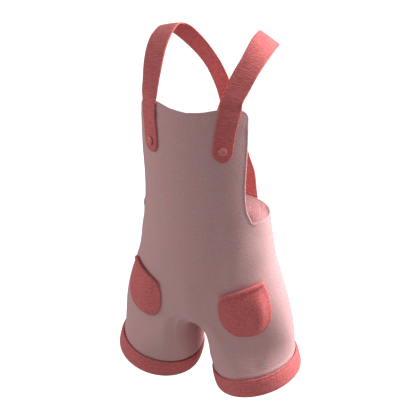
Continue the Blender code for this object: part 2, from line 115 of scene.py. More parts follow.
# Trunk: elliptical sections, widest at centre_y, front and back halves of unequal depth
Section = namedtuple("Section", "z half_width front_depth back_depth centre_y")
TRUNK = (
    Section(-430, 133.4, 60.5, 67.5, -32.5),
    Section(-415, 131.6, 63.0, 70.0, -33.0),
    Section(-392, 127.2, 65.5, 72.0, -34.0),
    Section(-360, 118.4, 69.0, 73.0, -34.5),
    Section(-336, 110.0, 70.5, 71.5, -33.5),
    Section(-308, 100.8, 70.5, 69.5, -34.0),
    Section(-280, 96.0, 70.0, 66.5, -35.0),
    Section(-239, 90.3, 68.5, 61.5, -36.7),
    Section(-189, 87.4, 68.5, 63.0, -39.0),
    Section(-140, 86.4, 66.5, 63.0, -43.4),
    Section(-115, 85.8, 62.5, 62.0, -46.0),
    Section(-87, 86.2, 56.5, 62.0, -48.0),
    Section(-68, 86.2, 50.5, 62.0, -46.0),
)
WAIST_Z = -239.0

# Bib: its top edge, its side edge, and the corners that round them off
TopPoint = namedtuple("TopPoint", "x z")
BIB_TOP = (TopPoint(0, -84.8), TopPoint(22, -82.6), TopPoint(42, -78.8), TopPoint(61.0, -78.6))
BIB_CORNER_RADIUS = 12.6
SidePoint = namedtuple("SidePoint", "z x")
BIB_SIDE = (
    SidePoint(-231, 77.4),
    SidePoint(-221, 74.2),
    SidePoint(-208, 72.4),
    SidePoint(-189, 71.6),
    SidePoint(-150, 72.8),
    SidePoint(-115, 73.6),
    SidePoint(-87, 73.4),
)
ARMHOLE_RADIUS = 8.0
ARMHOLE_REACH = 0.068

# Fork: the ring where trunk and legs meet, and the curve under the crotch
FORK_CENTRE_Z = -381.5
FORK_SIDE_Z = -420.0
FORK_SPREAD = 0.52
CROTCH_Z = -417.0
CORNER_REACH = 0.4
CENTRE_SHARE = 0.75
UNDER_REACH = 0.5
FORK_REACH = 1.2

# Legs and cuffs: the ring at the top of the cuff, tilted up on its outer side
LEG_X = 74.2
LEG_Y = -31.2
LEG_Z = -474.0
LEG_HALF_WIDTH = 58.2
LEG_HALF_DEPTH = 65.0
LEG_TILT = math.radians(15.0)
LEG_AXIS = np.array([math.sin(LEG_TILT), 0.0, -math.cos(LEG_TILT)])
INNER_ARC = 50.0
CUFF_HEIGHT = 27.5
CUFF_ROLL = 4.4
LEG_END = 0.93

# Largest folds: soft troughs along lines seen from the front (side -1) or the back (side 1)
Fold = namedtuple("Fold", "side x0 z0 x1 z1 width depth")
FOLDS = (
    Fold(-1, 2, -394, -36, -400, 9.0, 1.3),
    Fold(-1, 20, -398, 46, -404, 10.0, 0.7),
    Fold(-1, 80, -420, 84, -464, 13.0, 2.0),
    Fold(-1, -52, -430, -60, -464, 14.0, 1.4),
    Fold(-1, 84, -262, 58, -274, 13.0, 1.0),
    Fold(-1, -86, -258, -64, -270, 13.0, 0.9),
    Fold(1, 8, -396, 50, -402, 11.0, 1.3),
    Fold(1, -14, -399, -40, -397, 10.0, 1.0),
    Fold(1, 40, -262, 12, -272, 11.0, 1.2),
    Fold(1, -46, -266, -22, -273, 11.0, 1.0),
)
FOLD_MIDDLE_Y = -33.0
FOLD_FADE = 30.0

# Straps: the tab on the bib, the free run over the shoulder, and the end on the back
TabRow = namedtuple("TabRow", "z x half_width")
TAB = (
    TabRow(-144.0, 48.6, 12.5),
    TabRow(-129.0, 48.9, 12.5),
    TabRow(-118.0, 49.7, 12.5),
    TabRow(-102.0, 51.8, 12.8),
    TabRow(-82.0, 54.5, 13.0),
)
BACK_TAB = (
    TabRow(-272.0, -45.8, 14.0),
    TabRow(-258.0, -43.9, 14.6),
    TabRow(-244.0, -41.7, 15.0),
    TabRow(-232.0, -39.7, 15.2),
)
# The two straps lie a little differently: tilt lowers the left one's arm edge and raises the
# right one's, and lean moves the left one outward on the back
StrapRow = namedtuple("StrapRow", "neck_x neck_y neck_z arm_x arm_y arm_z crown tilt lean")
STRAP = (
    StrapRow(42.0, -94.0, -70.5, 69.4, -84.0, -71.5, 1.0, 0.0, 0.0),
    StrapRow(45.0, -82.0, -55.0, 72.8, -74.4, -58.0, 0.8, 0.0, 0.0),
    StrapRow(49.0, -63.2, -36.5, 77.4, -61.0, -42.0, 0.8, 0.5, 0.0),
    StrapRow(52.4, -42.0, -19.0, 82.8, -38.4, -26.6, 0.8, 2.0, 0.0),
    StrapRow(54.4, -16.0, -5.0, 85.2, -11.0, -16.6, 0.8, 4.0, 0.0),
    StrapRow(54.6, 5.0, -1.0, 83.0, 14.5, -14.5, 0.8, 5.0, 0.5),
    StrapRow(48.5, 20.0, -6.0, 72.0, 27.0, -25.0, 0.8, 3.0, 2.0),
    StrapRow(37.5, 29.0, -19.0, 59.4, 33.0, -36.5, 0.6, 1.0, 3.5),
    StrapRow(15.5, 35.5, -49.5, 37.0, 37.5, -61.5, 0.3, 0.0, 4.0),
    StrapRow(-4.0, 37.5, -88.2, 19.0, 38.5, -95.2, 0.0, 0.0, 2.5),
    StrapRow(-19.4, 36.0, -137.2, 5.6, 37.0, -142.8, 0.0, 0.0, 0.5),
    StrapRow(-34.9, 32.5, -184.8, -9.0, 34.6, -189.0, 0.2, 0.0, 0.0),
    StrapRow(-46.6, 28.2, -208.0, -18.9, 32.2, -211.0, 0.6, 0.0, 0.0),
)
TILT_OUT = 0.6
TIP_RADIUS = 13.5
CROSSING_Z = -118.0
CROSSING_HALF = 48.0
CROSSING_FADE = 55.0
CROSSING_LIFT = 3.8

# Buttons on the strap tips
BUTTON_Z = -129.5
BUTTON_RADIUS = 5.75
BUTTON_HEIGHT = 3.2

# Patch pockets: the two ends of rows from the top edge down, and the roll along the top edge
PocketRow = namedtuple("PocketRow", "inner inner_z outer outer_z")
POCKET = (
    PocketRow(0.262, -347.0, 0.706, -329.0),
    PocketRow(0.244, -356.0, 0.722, -341.0),
    PocketRow(0.236, -368.0, 0.720, -356.0),
    PocketRow(0.241, -381.0, 0.702, -371.5),
    PocketRow(0.264, -392.5, 0.644, -387.0),
    PocketRow(0.305, -401.0, 0.552, -399.0),
    PocketRow(0.352, -405.5, 0.440, -405.5),
)
POCKET_RISE = 2.5
POCKET_BULGE = 4.0
ROLL_HEIGHT = 6.8
ROLL_DEPTH = 5.4
ROLL_END = 0.55

# Rows and columns of the shells
BIB_ROWS = 62
ARMHOLE_ROWS = 10
WAIST_ROWS = 10
SEAM_ROWS = 80
BACK_ROWS = 82
LEG_ROWS = 34
QUARTER = 72
BIB_FADE_ROWS = 23
CUFF_SECTION = 56
STRAP_COLUMNS = 16
TAB_ROWS = 40
TAB_STEP = 5
TIP_ROWS = 14
TIP_START = 4.0
RUN_ROWS = 170
BACK_TAB_ROWS = 22
BACK_STEP = 7
POCKET_ROWS = 44
POCKET_COLUMNS = 48
ROLL_SIDES = 20
ROLL_TAPER = 0.06
BIB_CORNER_TURNS = (45.0, 36.0, 27.0, 18.0, 9.0)
CUFF_ROUNDNESS = 0.7
INNER_QUARTER = 28
PROBE = 1e-3
SHARP_EDGE = math.radians(50.0)

# Soft creases besides the folds; a negative depth is a ridge
CREASES = (
    Fold(-1, 47, -236, 43, -320, 13, 1.9),
    Fold(-1, 66, -262, 58, -306, 12, -0.8),
    Fold(-1, -2, -336, 5, -376, 18, -2.2),
    Fold(-1, 97, -404, 95, -452, 9, 1.9),
    Fold(-1, 36, -410, 33, -450, 15, -2.0),
    Fold(-1, -26, -406, -29, -446, 10, 1.6),
    Fold(-1, -8, -394, -26, -399, 7, 0.7),
    Fold(-1, -50, -94, 22, -92.5, 4.5, 0.7),
    Fold(-1, -66, -244, -60, -300, 12, 0.9),
    Fold(-1, -104, -262, -108, -300, 11, -0.7),
    Fold(1, 50, -258, 42, -336, 14, 1.8),
    Fold(1, -44, -270, -52, -330, 13, 1.3),
    Fold(1, 6, -330, 2, -372, 15, -0.9),
    Fold(1, 30, -400, 34, -446, 10, 1.7),
    Fold(1, 92, -392, 86, -436, 10, -1.0),
    Fold(1, -62, -402, -66, -450, 10, 1.8),
    Fold(1, -30, -404, -34, -440, 9, -0.8),
    Fold(1, 70, -350, 104, -366, 11, 0.9),
    Fold(1, -80, -346, -110, -358, 10, 0.8),
)

# Cloth puffed out just above the cuffs: how far, how high above them and how wide
CUFF_PUFF = 1.1
PUFF_HEIGHT = 3.4
PUFF_WIDTH = 2.0

# Bulges of the pockets between their edges, by share of the width
Bulge = namedtuple("Bulge", "side place width lift")
BULGES = (
    Bulge(1, 0.16, 0.14, 1.0),
    Bulge(1, 0.72, 0.20, 3.0),
    Bulge(-1, 0.30, 0.16, 1.4),
    Bulge(-1, 0.82, 0.12, 0.7),
)
BULGE_MARGIN = 0.28


def spline(at, places, values):
    """Smooth curve through values given at rising places, read at the places 'at'."""
    places = np.asarray(places, float)
    values = np.asarray(values, float)
    at = np.asarray(at, float)
    slopes = np.gradient(values, places, axis=0)
    low = np.clip(np.searchsorted(places, at) - 1, 0, len(places) - 2)
    step = places[low + 1] - places[low]
    part = (at - places[low]) / step
    if values.ndim == 2:
        step = step[..., None]
        part = part[..., None]
    rise = part * part * (3 - 2 * part)
    leave = part * (1 - part) ** 2 * step
    arrive = part * part * (part - 1) * step
    held = values[low] * (1 - rise) + values[low + 1] * rise
    return held + slopes[low] * leave + slopes[low + 1] * arrive


def unit(vectors):
    return vectors / np.linalg.norm(vectors, axis=-1, keepdims=True)


def smooth(part):
    part = np.clip(part, 0.0, 1.0)
    return part * part * (3 - 2 * part)


def section(z):
    """Half width, front depth, back depth and centre of the trunk at height z."""
    heights = [row.z for row in TRUNK]
    return [spline(z, heights, [row[k] for row in TRUNK]) for k in range(1, 5)]


def trunk(around, z):
    """Trunk point: around is 0 at centre front, 1 at the side seam and 2 at centre back."""
    angle = np.asarray(around, float) * math.pi / 2
    z = np.broadcast_to(np.asarray(z, float), angle.shape)
    width, front, back, middle = section(z)
    depth = np.where(np.cos(angle) > 0, front, back)
    return np.stack([width * np.sin(angle), middle - depth * np.cos(angle), z], -1)


def around_at(x, z):
    """Place around the front of the trunk where the cloth is x from the centre."""
    return np.arcsin(np.asarray(x) / section(np.asarray(z, float))[0]) / (math.pi / 2)


def fork_height(around):
    """Height of the fork ring, lower at the sides than at the centre."""
    away = np.clip(1 - np.abs(1 - around), 0.0, 1.0)
    return FORK_CENTRE_Z + (FORK_SIDE_Z - FORK_CENTRE_Z) * smooth(away / FORK_SPREAD)


def fork_ring(around):
    """Fork point: from -1 to 0 and from 2 to 3 it runs under the crotch, between them outside."""
    outside = trunk(np.clip(around, 0, 2), fork_height(around))
    front_y = trunk(0.0, FORK_CENTRE_Z)[1]
    back_y = trunk(2.0, FORK_CENTRE_Z)[1]
    turn = np.where(around < 0, around + 2, around - 2) * math.pi / 2
    y = (front_y + back_y) / 2 + (back_y - front_y) / 2 * np.cos(turn)
    z = FORK_CENTRE_Z + (CROTCH_Z - FORK_CENTRE_Z) * np.sin(turn)
    under = np.stack([np.zeros_like(y), y, z], -1)
    inner = (around < 0) | (around > 2)
    return np.where(inner[..., None], under, outside)


def fork_direction(around):
    """Direction in which the cloth leaves the fork ring: down outside, sideways under the crotch."""
    outer = np.clip(around, 0, 2)
    z = fork_height(around)
    down = unit(trunk(outer, z - 1) - trunk(outer, z))
    sideways = np.array([1.0, 0.0, 0.0])
    away = 1 - np.abs(1 - outer)
    under = np.clip(np.abs(around - 1) - 1, 0, 1)
    share = CENTRE_SHARE * (1 - smooth(away / CORNER_REACH))
    share = (share + (1 - CENTRE_SHARE) * smooth(under / UNDER_REACH))[..., None]
    return unit(down * (1 - share) + sideways * share)


def cuff_ring(around):
    """Point of the leg at the top of the cuff."""
    degrees = np.interp(around, [-1, 0, 1, 2, 3], [-90, -INNER_ARC, 90, 180 + INNER_ARC, 270])
    angle = np.radians(degrees)
    x = LEG_HALF_WIDTH * np.sin(angle)
    y = LEG_Y - LEG_HALF_DEPTH * np.cos(angle)
    return np.stack([LEG_X + x, y, LEG_Z + x * math.tan(LEG_TILT)], -1)


def leg(around, down):
    """Leg point: down is 0 at the fork, 1 at the top of the cuff and 2 at its bottom."""
    around = np.asarray(around, float)
    down = np.broadcast_to(np.asarray(down, float), around.shape)
    start = fork_ring(around)
    end = cuff_ring(around)
    span = np.linalg.norm(end - start, axis=-1, keepdims=True)
    part = np.clip(down, 0, 1)[..., None]
    rise = smooth(part)
    leave = part * (1 - part) ** 2 * span * FORK_REACH * fork_direction(around)
    arrive = part * part * (part - 1) * (end - start)
    below = np.clip(down - 1, 0, None)[..., None] * CUFF_HEIGHT * LEG_AXIS
    return start * (1 - rise) + end * rise + leave + arrive + below


def outward(surface, around, down, falls):
    """Outward direction of a surface; falls is -1 where its second value is a height."""
    lower = surface(around, down + PROBE * falls)
    upper = surface(around, down - PROBE * falls)
    across = surface(around + PROBE, down) - surface(around - PROBE, down)
    return unit(np.cross(lower - upper, across))


def fold_depth(points):
    """Depth of the folds at points on either side of the garment."""
    depth = np.zeros(points.shape[:-1])
    flat = points[..., [0, 2]]
    for fold in FOLDS + CREASES:
        start = np.array([fold.x0, fold.z0])
        run = np.array([fold.x1, fold.z1]) - start
        along = np.clip((flat - start) @ run / (run @ run), 0, 1)
        away = np.linalg.norm(flat - start - along[..., None] * run, axis=-1)
        facing = smooth((points[..., 1] - FOLD_MIDDLE_Y) * fold.side / FOLD_FADE)
        depth += fold.depth * np.exp(-((away / fold.width) ** 2)) * facing
    beside = np.abs(points[..., 0]) - LEG_X
    above = (LEG_Z - points[..., 2]) * LEG_AXIS[2] - beside * LEG_AXIS[0]
    return depth - CUFF_PUFF * np.exp(-(((above - PUFF_HEIGHT) / PUFF_WIDTH) ** 2))


def lifted(surface, around, z, lift):
    """Points moved out from a panel by a lift; the folds are troughs, so they only add room."""
    return surface(around, z) + outward(surface, around, z, -1) * lift


def mirrored(patch):
    """The same patch on the wearer's right."""
    flip = np.array([-1.0, 1.0, 1.0])
    return tuple(grid[:, ::-1] * flip for grid in patch)


def front_ends():
    """Rows of the front panel: height at the centre, then place and height of the outer end."""
    turns = np.radians(BIB_CORNER_TURNS)
    corner_z = BIB_TOP[-1].z - BIB_CORNER_RADIUS
    outer_z = list(corner_z + BIB_CORNER_RADIUS * np.sin(turns))
    outer = list(around_at(BIB_TOP[-1].x + BIB_CORNER_RADIUS * np.cos(turns), np.array(outer_z)))
    side_z = np.linspace(corner_z, BIB_SIDE[0].z, BIB_ROWS - 1)
    side_x = spline(side_z, [row.z for row in BIB_SIDE], [row.x for row in BIB_SIDE])
    outer_z += list(side_z)
    outer += list(around_at(side_x, side_z))
    corner = outer[-1]
    for turn in np.linspace(0, math.pi / 2, ARMHOLE_ROWS + 1)[1:]:
        outer.append(corner + ARMHOLE_REACH * (1 - math.cos(turn)))
        outer_z.append(WAIST_Z + ARMHOLE_RADIUS * (1 - math.sin(turn)))
    seam = 1 - SIDE_SEAM_STEP
    outer += list(np.linspace(outer[-1], seam, WAIST_ROWS + 1)[1:])
    outer_z += [WAIST_Z] * WAIST_ROWS
    outer += [seam] * SEAM_ROWS
    outer_z += list(np.linspace(WAIST_Z, FORK_SIDE_Z, SEAM_ROWS + 1)[1:])
    return np.linspace(BIB_TOP[0].z, FORK_CENTRE_Z, len(outer)), np.array(outer), np.array(outer_z)


def front_trunk():
    """Grid of the bib and the front of the trunk, from the centre to the outer end of each row."""
    centre_z, outer, outer_z = front_ends()
    part = np.linspace(0, 1, QUARTER + 1)
    around = outer[:, None] * part
    z = centre_z[:, None] + (outer_z - centre_z)[:, None] * part**2
    z[-1] = fork_height(around[-1])
    top_x = trunk(around[0], z[0])[:, 0]
    inside_x = np.minimum(top_x, BIB_TOP[-1].x)
    top_z = spline(inside_x, [row.x for row in BIB_TOP], [row.z for row in BIB_TOP])
    over = np.clip(top_x - inside_x, 0, BIB_CORNER_RADIUS)
    top_z += np.sqrt(BIB_CORNER_RADIUS**2 - over**2) - BIB_CORNER_RADIUS
    fade = np.clip(1 - np.arange(len(outer)) / BIB_FADE_ROWS, 0, 1)
    z += fade[:, None] * (top_z - z[0])
    points = trunk(around, z)
    return points, outward(trunk, around, z, -1)


def back_trunk():
    """Grid of the back of the trunk, from the side seam to the centre."""
    around = np.linspace(1 + SIDE_SEAM_STEP, 2, QUARTER + 1)
    part = np.linspace(0, 1, BACK_ROWS + 1)[:, None]
    z = WAIST_Z + (fork_height(around) - WAIST_Z) * part
    around = np.broadcast_to(around, z.shape)
    return trunk(around, z), outward(trunk, around, z, -1)


def leg_grid(columns):
    """Grid of a leg panel between two seams, without the fork points that the trunk gives."""
    around = np.asarray(columns)[None, :]
    down = np.append(np.linspace(0, 1, LEG_ROWS + 1), 1 + LEG_END)[:, None]
    around, down = np.broadcast_arrays(around, down)
    return leg(around, down), outward(leg, around, down, 1)


def join_fork(trunk_patch, leg_patch, columns):
    """Makes the first row of the leg the last row of the trunk, square to the centre below it."""
    points, directions = leg_patch
    points[0][columns] = trunk_patch[0][-1]
    directions[0][columns] = trunk_patch[1][-1]
    under = np.abs(points[0][:, 0]) < SAME_POINT
    directions[0][under, 0] = 0
    directions[0] = unit(directions[0])
    return points, directions


def folded(patches):
    """Both halves of a panel with its folds."""
    grids = []
    for points, directions in list(patches) + [mirrored(patch) for patch in patches]:
        grids.append((points - directions * fold_depth(points)[..., None], directions))
    return grids


# Rounded edges: how far the last row moves back, the centre, radius and reach of the roll
Edge = namedtuple("Edge", "shift back radius reach")
HEM_EDGE = Edge(1.3, 0.55, 1.3, 108.0)
STRAP_EDGE = Edge(1.1, 1.1, 1.1, 90.0)
POCKET_EDGE = Edge(1.0, 1.0, 1.0, 90.0)
EDGE_STEPS = 9
BEAD_EXTRA = 0.45
HEM_SOFT = 5.0
BEAD_BIB_X = 34.0
BEAD_BIB_Z = -97.0
BEAD_BACK_X = 70.0
BEAD_FADE = 6.0
CUFF_GROOVE = 0.9
GROOVE_PLACE = 0.74
GROOVE_WIDTH = 0.10
SEAM_ROUND = 0.05


def shell(name, patches, cloth, edge, is_seam=None, grains=None, bead=None):
    """Object made as a thin closed shell from grids of outer points and outward directions."""
    index = {}
    points = []
    directions = []
    marks = []
    faces = []
    for patch, (grid, outs) in enumerate(patches):
        rows, columns = grid.shape[:2]
        ids = np.empty((rows, columns), int)
        keys = np.round(grid, 2) + 0.0
        for i in range(rows):
            for k in range(columns):
                key = tuple(keys[i, k])
                if key not in index:
                    index[key] = len(points)
                    points.append(grid[i, k])
                    directions.append(outs[i, k])
                    if grains:
                        marks.append(grains[patch][i, k])
                ids[i, k] = index[key]
        quads = np.stack([ids[:-1, :-1], ids[1:, :-1], ids[1:, 1:], ids[:-1, 1:]], -1)
        faces.append(quads.reshape(-1, 4))
    points = np.array(points)
    directions = unit(np.array(directions))
    faces = np.concatenate(faces)
    count = len(points)
    edges = np.stack([faces, np.roll(faces, -1, axis=1)], -1).reshape(-1, 2)
    known = set(map(tuple, edges))
    rim = np.array([pair for pair in map(tuple, edges) if pair[::-1] not in known])
    tangent = np.zeros((count, 3))
    run = points[rim[:, 1]] - points[rim[:, 0]]
    for end in (0, 1):
        np.add.at(tangent, rim[:, end], unit(np.cross(run, directions[rim[:, end]])))
    border = np.unique(rim)
    t = unit(tangent[border])
    n = directions[border]
    seam = np.zeros(len(border)) if is_seam is None else is_seam(points[border])
    free = (1 - seam)[:, None]
    at = points[border]
    extra = 0 if bead is None else bead(at)[:, None]
    inner = points - directions * cloth
    if bead is not None:
        height = (edge.radius + extra) * math.sin(math.radians(edge.reach)) - cloth / 2
        raised = soft_hem(points, at, (height * free)[:, 0])
        points = points + directions * raised
        inner = inner - directions * raised
    turns = np.radians(np.linspace(edge.reach, -edge.reach, EDGE_STEPS))
    rolled = []
    for turn in turns:
        centre = at - n * cloth / 2 - t * (edge.back + extra)
        roll = centre + (edge.radius + extra) * (t * math.cos(turn) + n * math.sin(turn))
        level = math.sin(turn) / math.sin(math.radians(edge.reach))
        plain = at - n * cloth / 2 * (1 - level) + t * SEAM_ROUND * math.cos(turn)
        rolled.append(roll * free + plain * (1 - free))
    points[border] -= t * (edge.shift + extra) * free
    inner[border] -= t * (edge.shift + extra) * free
    verts = np.concatenate([points, inner] + rolled)
    place = np.full(count, -1)
    place[border] = np.arange(len(border))
    layers = [lambda ids: ids]
    for step in range(EDGE_STEPS):
        start = 2 * count + step * len(border)
        layers.append(lambda ids, start=start: start + place[ids])
    layers.append(lambda ids: ids + count)
    polygons = [faces, faces[:, ::-1] + count]
    for outer, after in zip(layers, layers[1:]):
        near, far = rim[:, 0], rim[:, 1]
        polygons.append(np.stack([outer(far), outer(near), after(near), after(far)], -1))
    piece = made(name, verts, np.concatenate(polygons))
    if grains:
        marks = np.array(marks) * METRE
        marks = np.concatenate([marks, marks] + [marks[border]] * EDGE_STEPS)
        layer = piece.data.uv_layers.new(name="grain")
        corners = np.empty(len(piece.data.loops), int)
        piece.data.loops.foreach_get("vertex_index", corners)
        layer.data.foreach_set("uv", marks[corners].astype(np.float32).ravel())
    return piece


def made(name, verts, polygons):
    """Smooth-shaded object from points in millimetres and faces."""
    data = bpy.data.meshes.new(name)
    data.from_pydata((verts * METRE).tolist(), [], [list(row) for row in polygons])
    data.shade_smooth()
    data.set_sharp_from_angle(angle=SHARP_EDGE)
    piece = bpy.data.objects.new(name, data)
    bpy.context.collection.objects.link(piece)
    return piece


def rolled_tube(name, rings, closed):
    """Object through rings of points, closed on itself or with its ends filled."""
    rings = np.array(rings)
    count, sides = rings.shape[:2]
    ids = np.arange(count * sides).reshape(count, sides)
    after = np.roll(ids, -1, axis=0) if closed else ids[1:]
    ring = ids if closed else ids[:-1]
    quads = [ring, np.roll(ring, 1, axis=1), np.roll(after, 1, axis=1), after]
    polygons = np.stack(quads, -1).reshape(-1, 4)
    verts = rings.reshape(-1, 3)
    if closed:
        return made(name, verts, polygons)
    polygons = polygons.tolist()
    for end, centre in ((0, count * sides), (-1, count * sides + 1)):
        near = ids[end]
        far = np.roll(near, 1)
        pairs = zip(near, far) if end else zip(far, near)
        polygons += [[a, b, centre] for a, b in pairs]
    verts = np.concatenate([verts, rings[0].mean(0)[None], rings[-1].mean(0)[None]])
    return made(name, verts, polygons)


def seams(points):
    """1 where an edge is sewn to the next panel, 0 where it is a free hem."""
    return (points[:, 2] < WAIST_Z - 1.0).astype(float)


def soft_hem(points, rim, height):
    """Thickening of the cloth towards its free hems, so that the hem rises without a step."""
    nearest = np.full(len(points), np.inf)
    raised = np.zeros(len(points))
    for place, most in zip(rim, height):
        away = np.linalg.norm(points - place, axis=1)
        closer = away < nearest
        nearest[closer] = away[closer]
        raised[closer] = most
    return (raised * smooth(1 - nearest / HEM_SOFT))[:, None]


def hem_bead(points):
    """Extra thickness of the free hems, without the places where the straps cross them."""
    x = np.abs(points[:, 0])
    on_bib = np.maximum(smooth((BEAD_BIB_X - x) / BEAD_FADE), smooth((BEAD_BIB_Z - points[:, 2]) / BEAD_FADE))
    on_back = smooth((x - BEAD_BACK_X) / BEAD_FADE)
    return BEAD_EXTRA * np.where(points[:, 1] < FOLD_MIDDLE_Y, on_bib, on_back)


def columns_between(*stops):
    """Places of the columns round a leg between stops, closer outside than inside."""
    places = [stops[0]]
    for near, far in zip(stops, stops[1:]):
        count = QUARTER if 0 < (near + far) / 2 < 2 else INNER_QUARTER
        places += list(np.linspace(near, far, count + 1)[1:])
    return np.array(places)


def front_panel():
    columns = columns_between(-1 + INSEAM_STEP, 0, 1 - SIDE_SEAM_STEP)
    top = front_trunk()
    lower = join_fork(top, leg_grid(columns), slice(INNER_QUARTER, None))
    return shell("front_panel", folded([top, lower]), CLOTH, HEM_EDGE, seams, bead=hem_bead)


def back_panel():
    columns = columns_between(1 + SIDE_SEAM_STEP, 2, 3 - INSEAM_STEP)
    top = back_trunk()
    lower = join_fork(top, leg_grid(columns), slice(0, QUARTER + 1))
    return shell("back_panel", folded([top, lower]), CLOTH, HEM_EDGE, seams, bead=hem_bead)


def cuff(end, side):
    rings = []
    turn = np.linspace(0, 2 * math.pi, CUFF_SECTION, endpoint=False)
    across = np.sign(np.sin(turn)) * np.abs(np.sin(turn)) ** CUFF_ROUNDNESS
    along = np.sign(np.cos(turn)) * np.abs(np.cos(turn)) ** CUFF_ROUNDNESS
    groove = CUFF_GROOVE * np.exp(-(((along - GROOVE_PLACE) / GROOVE_WIDTH) ** 2)) * smooth(across * 2)
    for around in columns_between(-1, 0, 1, 2, 3)[:-1]:
        place = np.full(CUFF_SECTION, around)
        lift = GAP + CUFF_ROLL * (1 + across) / 2 - groove
        down = 1 + (1 - along) / 2
        direction = outward(leg, place, np.full(CUFF_SECTION, 1.5), 1)
        points = leg(place, down) + direction * lift[:, None]
        rings.append(points * np.array([side, 1, 1]))
    return rolled_tube("cuff_roll_" + end, rings if side < 0 else rings[::-1], True)


def strap_points(side):
    """Outer face of a strap, tip first, and its outward directions."""
    across = np.linspace(-1, 1, STRAP_COLUMNS + 1)
    lift = GAP + STRAP_CLOTH
    tab_z = [row.z for row in TAB]
    turns = np.radians(np.linspace(TIP_START, 90, TIP_ROWS))
    tip_z = tab_z[0] + TIP_RADIUS * (1 - np.cos(turns))
    z = np.append(tip_z, np.linspace(tip_z[-1], tab_z[-1], TAB_ROWS + 1)[1:])
    x = spline(z, tab_z, [row.x for row in TAB])
    half = spline(z, tab_z, [row.half_width for row in TAB])
    half[:TIP_ROWS] *= np.sin(turns)
    x = x[:, None] + half[:, None] * across
    z = np.broadcast_to(z[:, None], x.shape)
    around = around_at(x, z)
    on_bib = lifted(trunk, around, z, lift)
    back_z = np.linspace(BACK_TAB[-1].z, BACK_TAB[0].z, BACK_TAB_ROWS)
    heights = [row.z for row in BACK_TAB]
    x = spline(back_z, heights, [row.x for row in BACK_TAB])
    half = spline(back_z, heights, [row.half_width for row in BACK_TAB])
    x = x[:, None] + half[:, None] * across
    z = np.broadcast_to(back_z[:, None], x.shape)
    around = 2 - np.arcsin(x / section(z)[0]) / (math.pi / 2)
    on_back = lifted(trunk, around, z, lift)
    table = np.array(STRAP)
    bib_ends = on_bib[[-1 - 2 * TAB_STEP, -1 - TAB_STEP, -1]]
    back_ends = on_back[[0, BACK_STEP]]
    neck = np.concatenate([bib_ends[:, 0], table[:, 0:3], back_ends[:, 0]])
    arm = np.concatenate([bib_ends[:, -1], table[:, 3:6], back_ends[:, -1]])
    length = np.append(0, np.cumsum(np.linalg.norm(np.diff((neck + arm) / 2, axis=0), axis=1)))
    at = np.linspace(length[2], length[-2], RUN_ROWS + 2)[1:-1]
    neck = spline(at, length, neck)
    arm = spline(at, length, arm)
    crown = spline(at, length[3:-2], table[:, 6])
    share = (across + 1) / 2
    tilt, lean = spline(at, length[3:-2], table[:, 7:9]).T
    arm[:, 0] -= side * TILT_OUT * tilt
    arm[:, 2] -= side * tilt
    if side > 0:
        neck[:, 0] += lean
        arm[:, 0] += lean
    run = neck[:, None] * (1 - share[:, None]) + arm[:, None] * share[:, None]
    along = np.gradient(run, axis=0)
    out = unit(np.cross(np.broadcast_to((arm - neck)[:, None], run.shape), along))
    run = run + out * (crown[:, None] * (1 - across**2))[..., None]
    points = np.concatenate([on_bib, run, on_back])
    if side < 0:
        away = np.abs(points[..., 2] - CROSSING_Z) - CROSSING_HALF
        behind = points[..., 1] > 0
        points[..., 1] += CROSSING_LIFT * smooth(1 - away / CROSSING_FADE) * behind
    out = unit(np.cross(np.gradient(points, axis=1), np.gradient(points, axis=0)))
    return points, out


def pocket_points(side):
    """Outer face of a patch pocket and its outward directions."""
    index = np.linspace(0, len(POCKET) - 1, POCKET_ROWS + 1)
    inner, inner_z, outer, outer_z = spline(index, np.arange(len(POCKET)), np.array(POCKET)).T[..., None]
    part = np.linspace(0, 1, POCKET_COLUMNS + 1)
    down = np.linspace(0, 1, POCKET_ROWS + 1)[:, None]
    around = inner + (outer - inner) * part
    hump = 4 * part * (1 - part)
    z = inner_z + (outer_z - inner_z) * part + POCKET_RISE * hump * (1 - down) ** 2
    bulge = POCKET_BULGE * hump * (1 - down**2) * (0.5 + down)
    directions = outward(trunk, around, z, -1)
    points = trunk(around, z) + directions * (GAP + CLOTH + bulge)[..., None]
    flip = np.array([side, 1, 1])
    if side < 0:
        return points[:, ::-1] * flip, directions[:, ::-1] * flip
    return points, directions


def roll_rings(side):
    """Rolled hem along the top edge of a pocket."""
    points, directions = pocket_points(side)
    up = unit(points[0] - points[1])
    centre = points[0] - directions[0] * CLOTH / 2 + up * (GAP + ROLL_HEIGHT / 2)
    centre = centre + directions[0] * (ROLL_DEPTH - CLOTH) / 2
    turn = np.linspace(0, 2 * math.pi, ROLL_SIDES, endpoint=False)[:, None]
    rings = []
    part = np.linspace(0, 1, POCKET_COLUMNS + 1)
    sizes = ROLL_END + (1 - ROLL_END) * smooth(np.minimum(part, 1 - part) / ROLL_TAPER) ** 0.5
    for middle, out, rise, size in zip(centre, directions[0], up, sizes):
        ring = out * np.cos(turn) * ROLL_DEPTH / 2 + rise * np.sin(turn) * ROLL_HEIGHT / 2
        rings.append(middle + size * ring)
    return rings


def narrowed(points, out, side):
    """Strap a little narrower towards its tip: the left one on its arm side, the right one inside."""
    lengths = np.linalg.norm(np.diff(points[:, STRAP_COLUMNS // 2], axis=0), axis=1)
    along = np.append(0, np.cumsum(lengths))
    share = 1 - TAB_SQUEEZE * (1 - smooth((along - TAB_RUN) / SQUEEZE_FADE))
    columns = np.linspace(0, 1, STRAP_COLUMNS + 1)
    start = 0.0 if side > 0 else 1.0
    places = [start + (columns - start) * part for part in share]
    rows = [spline(place, columns, row) for place, row in zip(places, points)]
    outs = [spline(place, columns, row) for place, row in zip(places, out)]
    return np.array(rows), np.array(outs)


